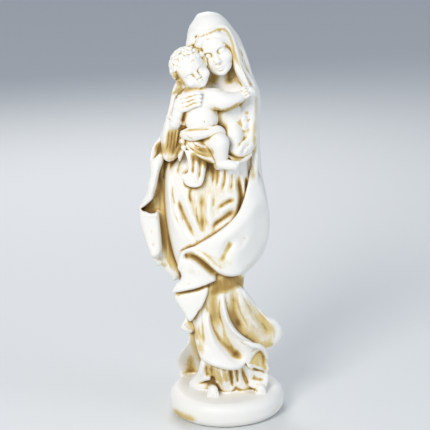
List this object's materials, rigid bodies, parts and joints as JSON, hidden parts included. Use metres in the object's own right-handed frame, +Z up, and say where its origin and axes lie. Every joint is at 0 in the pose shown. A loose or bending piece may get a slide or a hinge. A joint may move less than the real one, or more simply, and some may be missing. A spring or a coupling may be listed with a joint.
{
  "type": "mother and child statuette",
  "caption": "Cast statuette of a veiled standing mother holding a small child, in swept and folded cloth, on a round base with rounded edges.",
  "frame": {"origin": "centre of the base's underside", "axes": "+Z up through the figure, -Y towards the viewer whom the figure faces, +X to that viewer's right"},
  "size_m": [0.0968, 0.08, 0.2804],
  "materials": {
    "resin": "matt ivory cast with a golden brown wash in the hollows"
  },
  "bodies": {
    "root": {"statue": "resin"}
  },
  "joints": []
}
